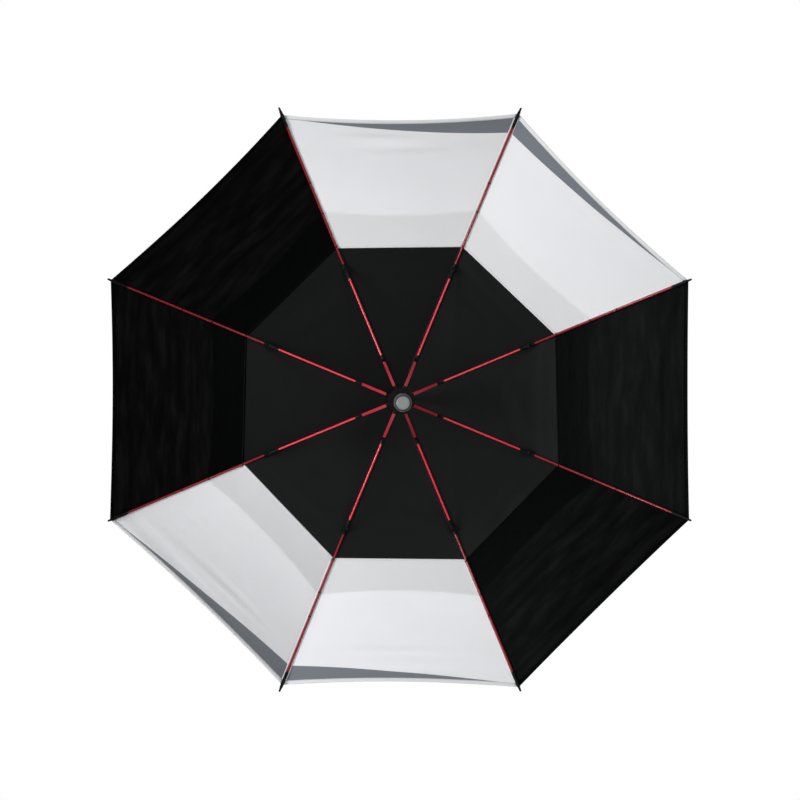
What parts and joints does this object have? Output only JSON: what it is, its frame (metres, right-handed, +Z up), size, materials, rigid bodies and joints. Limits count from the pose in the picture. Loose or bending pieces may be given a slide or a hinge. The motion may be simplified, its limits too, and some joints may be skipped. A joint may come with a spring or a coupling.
{
  "type": "golf umbrella",
  "caption": "Large double-canopy golf umbrella, open, with a fibreglass frame that folds along its shaft, a sprung runner and a straight handle.",
  "frame": {"origin": "centre of the handle's end face, on the shaft axis", "axes": "+Z runs up the shaft to the top cap; the eight ribs stand at 22.5 degrees plus multiples of 45 degrees from +X; the latch faces -Y"},
  "size_m": [1.3902, 1.3902, 1.0484],
  "materials": {
    "red_rib": "satin red fibreglass rod",
    "red_rod": "bright red fibreglass rod",
    "red_strut": "red painted pressed steel",
    "black_nylon": "moulded black nylon",
    "black_shaft": "black fibreglass tube",
    "steel_wire": "drawn steel",
    "core_plastic": "moulded inner core",
    "soft_grip": "soft-touch rubber",
    "grey_cap": "grey moulded plastic",
    "black_gloss": "black moulded plastic",
    "white_cloth": "woven polyester, white",
    "black_cloth": "woven polyester, black"
  },
  "bodies": {
    "root": {"shaft": "black_shaft", "crown_notch": "black_nylon", "crown_wire": "steel_wire", "crown_washer": "black_nylon", "top_cap": "black_nylon", "shaft_pins": "steel_wire", "handle_core": "core_plastic", "grip": "soft_grip", "end_cap": "grey_cap", "collar": "black_gloss", "latch_pin": "steel_wire", "latch_spring": "steel_wire", "upper_canopy": "black_cloth", "lower_canopy_white": "white_cloth", "lower_canopy_black": "black_cloth"},
    "rib_1": {"rib_inner_1": "red_rib", "rib_joint_1": "black_nylon"},
    "rib_end_1": {"rib_outer_1": "red_rib"},
    "stretcher_arm_1": {"stretcher_1": "red_rod"},
    "strut_1": {"spring_strut_1": "red_strut"},
    "rib_2": {"rib_inner_2": "red_rib", "rib_joint_2": "black_nylon"},
    "rib_end_2": {"rib_outer_2": "red_rib"},
    "stretcher_arm_2": {"stretcher_2": "red_rod"},
    "strut_2": {"spring_strut_2": "red_strut"},
    "rib_3": {"rib_inner_3": "red_rib", "rib_joint_3": "black_nylon"},
    "rib_end_3": {"rib_outer_3": "red_rib"},
    "stretcher_arm_3": {"stretcher_3": "red_rod"},
    "strut_3": {"spring_strut_3": "red_strut"},
    "rib_4": {"rib_inner_4": "red_rib", "rib_joint_4": "black_nylon"},
    "rib_end_4": {"rib_outer_4": "red_rib"},
    "stretcher_arm_4": {"stretcher_4": "red_rod"},
    "strut_4": {"spring_strut_4": "red_strut"},
    "rib_5": {"rib_inner_5": "red_rib", "rib_joint_5": "black_nylon"},
    "rib_end_5": {"rib_outer_5": "red_rib"},
    "stretcher_arm_5": {"stretcher_5": "red_rod"},
    "strut_5": {"spring_strut_5": "red_strut"},
    "rib_6": {"rib_inner_6": "red_rib", "rib_joint_6": "black_nylon"},
    "rib_end_6": {"rib_outer_6": "red_rib"},
    "stretcher_arm_6": {"stretcher_6": "red_rod"},
    "strut_6": {"spring_strut_6": "red_strut"},
    "rib_7": {"rib_inner_7": "red_rib", "rib_joint_7": "black_nylon"},
    "rib_end_7": {"rib_outer_7": "red_rib"},
    "stretcher_arm_7": {"stretcher_7": "red_rod"},
    "strut_7": {"spring_strut_7": "red_strut"},
    "rib_8": {"rib_inner_8": "red_rib", "rib_joint_8": "black_nylon"},
    "rib_end_8": {"rib_outer_8": "red_rib"},
    "stretcher_arm_8": {"stretcher_8": "red_rod"},
    "strut_8": {"spring_strut_8": "red_strut"},
    "runner": {"runner": "black_nylon", "runner_wire": "steel_wire", "opening_spring": "steel_wire"},
    "sleeve": {"spring_sleeve": "black_nylon"},
    "latch": {"latch_button": "grey_cap"}
  },
  "joints": [
    {"name": "fold", "type": "hinge", "parent": "root", "child": "rib_1", "pos_m": [0.01201, 0.00497, 1], "axis": [-0.3827, 0.9239, 0], "range_deg": [0, 76], "deforming": ["upper_canopy", "lower_canopy_white", "lower_canopy_black", "opening_spring"]},
    {"name": "fold_2", "type": "hinge", "parent": "root", "child": "rib_2", "pos_m": [0.00497, 0.01201, 1], "axis": [-0.9239, 0.3827, 0], "range_deg": [0, 76]},
    {"name": "fold_3", "type": "hinge", "parent": "root", "child": "rib_3", "pos_m": [-0.00497, 0.01201, 1], "axis": [-0.9239, -0.3827, 0], "range_deg": [0, 76]},
    {"name": "fold_4", "type": "hinge", "parent": "root", "child": "rib_4", "pos_m": [-0.01201, 0.00497, 1], "axis": [-0.3827, -0.9239, 0], "range_deg": [0, 76]},
    {"name": "fold_5", "type": "hinge", "parent": "root", "child": "rib_5", "pos_m": [-0.01201, -0.00497, 1], "axis": [0.3827, -0.9239, 0], "range_deg": [0, 76]},
    {"name": "fold_6", "type": "hinge", "parent": "root", "child": "rib_6", "pos_m": [-0.00497, -0.01201, 1], "axis": [0.9239, -0.3827, 0], "range_deg": [0, 76]},
    {"name": "fold_7", "type": "hinge", "parent": "root", "child": "rib_7", "pos_m": [0.00497, -0.01201, 1], "axis": [0.9239, 0.3827, 0], "range_deg": [0, 76]},
    {"name": "fold_8", "type": "hinge", "parent": "root", "child": "rib_8", "pos_m": [0.01201, -0.00497, 1], "axis": [0.3827, 0.9239, 0], "range_deg": [0, 76]},
    {"name": "rib_flex_1", "type": "hinge", "parent": "rib_1", "child": "rib_end_1", "pos_m": [0.33855, 0.14023, 0.93126], "axis": [-0.3827, 0.9239, 0], "range_deg": [-13.46, 0]},
    {"name": "rib_flex_2", "type": "hinge", "parent": "rib_2", "child": "rib_end_2", "pos_m": [0.14023, 0.33855, 0.93126], "axis": [-0.9239, 0.3827, 0], "range_deg": [-13.46, 0]},
    {"name": "rib_flex_3", "type": "hinge", "parent": "rib_3", "child": "rib_end_3", "pos_m": [-0.14023, 0.33855, 0.93126], "axis": [-0.9239, -0.3827, 0], "range_deg": [-13.46, 0]},
    {"name": "rib_flex_4", "type": "hinge", "parent": "rib_4", "child": "rib_end_4", "pos_m": [-0.33855, 0.14023, 0.93126], "axis": [-0.3827, -0.9239, 0], "range_deg": [-13.46, 0]},
    {"name": "rib_flex_5", "type": "hinge", "parent": "rib_5", "child": "rib_end_5", "pos_m": [-0.33855, -0.14023, 0.93126], "axis": [0.3827, -0.9239, 0], "range_deg": [-13.46, 0]},
    {"name": "rib_flex_6", "type": "hinge", "parent": "rib_6", "child": "rib_end_6", "pos_m": [-0.14023, -0.33855, 0.93126], "axis": [0.9239, -0.3827, 0], "range_deg": [-13.46, 0]},
    {"name": "rib_flex_7", "type": "hinge", "parent": "rib_7", "child": "rib_end_7", "pos_m": [0.14023, -0.33855, 0.93126], "axis": [0.9239, 0.3827, 0], "range_deg": [-13.46, 0]},
    {"name": "rib_flex_8", "type": "hinge", "parent": "rib_8", "child": "rib_end_8", "pos_m": [0.33855, -0.14023, 0.93126], "axis": [0.3827, 0.9239, 0], "range_deg": [-13.46, 0]},
    {"name": "stretcher_hinge_1", "type": "hinge", "parent": "rib_1", "child": "stretcher_arm_1", "pos_m": [0.32336, 0.13394, 0.92529], "axis": [-0.3827, 0.9239, 0], "range_deg": [-152, 0]},
    {"name": "stretcher_hinge_2", "type": "hinge", "parent": "rib_2", "child": "stretcher_arm_2", "pos_m": [0.13394, 0.32336, 0.92529], "axis": [-0.9239, 0.3827, 0], "range_deg": [-152, 0]},
    {"name": "stretcher_hinge_3", "type": "hinge", "parent": "rib_3", "child": "stretcher_arm_3", "pos_m": [-0.13394, 0.32336, 0.92529], "axis": [-0.9239, -0.3827, 0], "range_deg": [-152, 0]},
    {"name": "stretcher_hinge_4", "type": "hinge", "parent": "rib_4", "child": "stretcher_arm_4", "pos_m": [-0.32336, 0.13394, 0.92529], "axis": [-0.3827, -0.9239, 0], "range_deg": [-152, 0]},
    {"name": "stretcher_hinge_5", "type": "hinge", "parent": "rib_5", "child": "stretcher_arm_5", "pos_m": [-0.32336, -0.13394, 0.92529], "axis": [0.3827, -0.9239, 0], "range_deg": [-152, 0]},
    {"name": "stretcher_hinge_6", "type": "hinge", "parent": "rib_6", "child": "stretcher_arm_6", "pos_m": [-0.13394, -0.32336, 0.92529], "axis": [0.9239, -0.3827, 0], "range_deg": [-152, 0]},
    {"name": "stretcher_hinge_7", "type": "hinge", "parent": "rib_7", "child": "stretcher_arm_7", "pos_m": [0.13394, -0.32336, 0.92529], "axis": [0.9239, 0.3827, 0], "range_deg": [-152, 0]},
    {"name": "stretcher_hinge_8", "type": "hinge", "parent": "rib_8", "child": "stretcher_arm_8", "pos_m": [0.32336, -0.13394, 0.92529], "axis": [0.3827, 0.9239, 0], "range_deg": [-152, 0]},
    {"name": "runner_hinge", "type": "hinge", "parent": "stretcher_arm_1", "child": "runner", "pos_m": [0.01201, 0.00497, 0.85058], "axis": [-0.3827, 0.9239, 0], "range_deg": [0, 76]},
    {"name": "sleeve_slide", "type": "slide", "parent": "runner", "child": "sleeve", "axis": [0, 0, 1], "range_m": [0, 0.04931]},
    {"name": "strut_hinge_1", "type": "hinge", "parent": "sleeve", "child": "strut_1", "pos_m": [0.02033, 0.00842, 0.74937], "axis": [-0.3827, 0.9239, 0], "range_deg": [-37.76, 0]},
    {"name": "strut_hinge_2", "type": "hinge", "parent": "sleeve", "child": "strut_2", "pos_m": [0.00842, 0.02033, 0.74937], "axis": [-0.9239, 0.3827, 0], "range_deg": [-37.76, 0]},
    {"name": "strut_hinge_3", "type": "hinge", "parent": "sleeve", "child": "strut_3", "pos_m": [-0.00842, 0.02033, 0.74937], "axis": [-0.9239, -0.3827, 0], "range_deg": [-37.76, 0]},
    {"name": "strut_hinge_4", "type": "hinge", "parent": "sleeve", "child": "strut_4", "pos_m": [-0.02033, 0.00842, 0.74937], "axis": [-0.3827, -0.9239, 0], "range_deg": [-37.76, 0]},
    {"name": "strut_hinge_5", "type": "hinge", "parent": "sleeve", "child": "strut_5", "pos_m": [-0.02033, -0.00842, 0.74937], "axis": [0.3827, -0.9239, 0], "range_deg": [-37.76, 0]},
    {"name": "strut_hinge_6", "type": "hinge", "parent": "sleeve", "child": "strut_6", "pos_m": [-0.00842, -0.02033, 0.74937], "axis": [0.9239, -0.3827, 0], "range_deg": [-37.76, 0]},
    {"name": "strut_hinge_7", "type": "hinge", "parent": "sleeve", "child": "strut_7", "pos_m": [0.00842, -0.02033, 0.74937], "axis": [0.9239, 0.3827, 0], "range_deg": [-37.76, 0]},
    {"name": "strut_hinge_8", "type": "hinge", "parent": "sleeve", "child": "strut_8", "pos_m": [0.02033, -0.00842, 0.74937], "axis": [0.3827, 0.9239, 0], "range_deg": [-37.76, 0]},
    {"name": "latch_press", "type": "hinge", "parent": "root", "child": "latch", "pos_m": [0, -0.0161, 0.178], "axis": [1, 0, 0], "range_deg": [0, 5], "stiffness_Nm_per_rad": 0.05, "deforming": ["latch_spring"]}
  ],
  "couplings": [
    {"joint": "fold_2", "follows": "fold", "ratio": 1},
    {"joint": "fold_3", "follows": "fold", "ratio": 1},
    {"joint": "fold_4", "follows": "fold", "ratio": 1},
    {"joint": "fold_5", "follows": "fold", "ratio": 1},
    {"joint": "fold_6", "follows": "fold", "ratio": 1},
    {"joint": "fold_7", "follows": "fold", "ratio": 1},
    {"joint": "fold_8", "follows": "fold", "ratio": 1},
    {"joint": "rib_flex_1", "follows": "fold", "ratio": -0.17711},
    {"joint": "rib_flex_2", "follows": "fold", "ratio": -0.17711},
    {"joint": "rib_flex_3", "follows": "fold", "ratio": -0.17711},
    {"joint": "rib_flex_4", "follows": "fold", "ratio": -0.17711},
    {"joint": "rib_flex_5", "follows": "fold", "ratio": -0.17711},
    {"joint": "rib_flex_6", "follows": "fold", "ratio": -0.17711},
    {"joint": "rib_flex_7", "follows": "fold", "ratio": -0.17711},
    {"joint": "rib_flex_8", "follows": "fold", "ratio": -0.17711},
    {"joint": "stretcher_hinge_1", "follows": "fold", "ratio": -2},
    {"joint": "stretcher_hinge_2", "follows": "fold", "ratio": -2},
    {"joint": "stretcher_hinge_3", "follows": "fold", "ratio": -2},
    {"joint": "stretcher_hinge_4", "follows": "fold", "ratio": -2},
    {"joint": "stretcher_hinge_5", "follows": "fold", "ratio": -2},
    {"joint": "stretcher_hinge_6", "follows": "fold", "ratio": -2},
    {"joint": "stretcher_hinge_7", "follows": "fold", "ratio": -2},
    {"joint": "stretcher_hinge_8", "follows": "fold", "ratio": -2},
    {"joint": "runner_hinge", "follows": "fold", "ratio": 1},
    {"joint": "sleeve_slide", "follows": "fold", "m_per_rad": 0.037178},
    {"joint": "strut_hinge_1", "follows": "fold", "ratio": -0.49681},
    {"joint": "strut_hinge_2", "follows": "fold", "ratio": -0.49681},
    {"joint": "strut_hinge_3", "follows": "fold", "ratio": -0.49681},
    {"joint": "strut_hinge_4", "follows": "fold", "ratio": -0.49681},
    {"joint": "strut_hinge_5", "follows": "fold", "ratio": -0.49681},
    {"joint": "strut_hinge_6", "follows": "fold", "ratio": -0.49681},
    {"joint": "strut_hinge_7", "follows": "fold", "ratio": -0.49681},
    {"joint": "strut_hinge_8", "follows": "fold", "ratio": -0.49681}
  ]
}
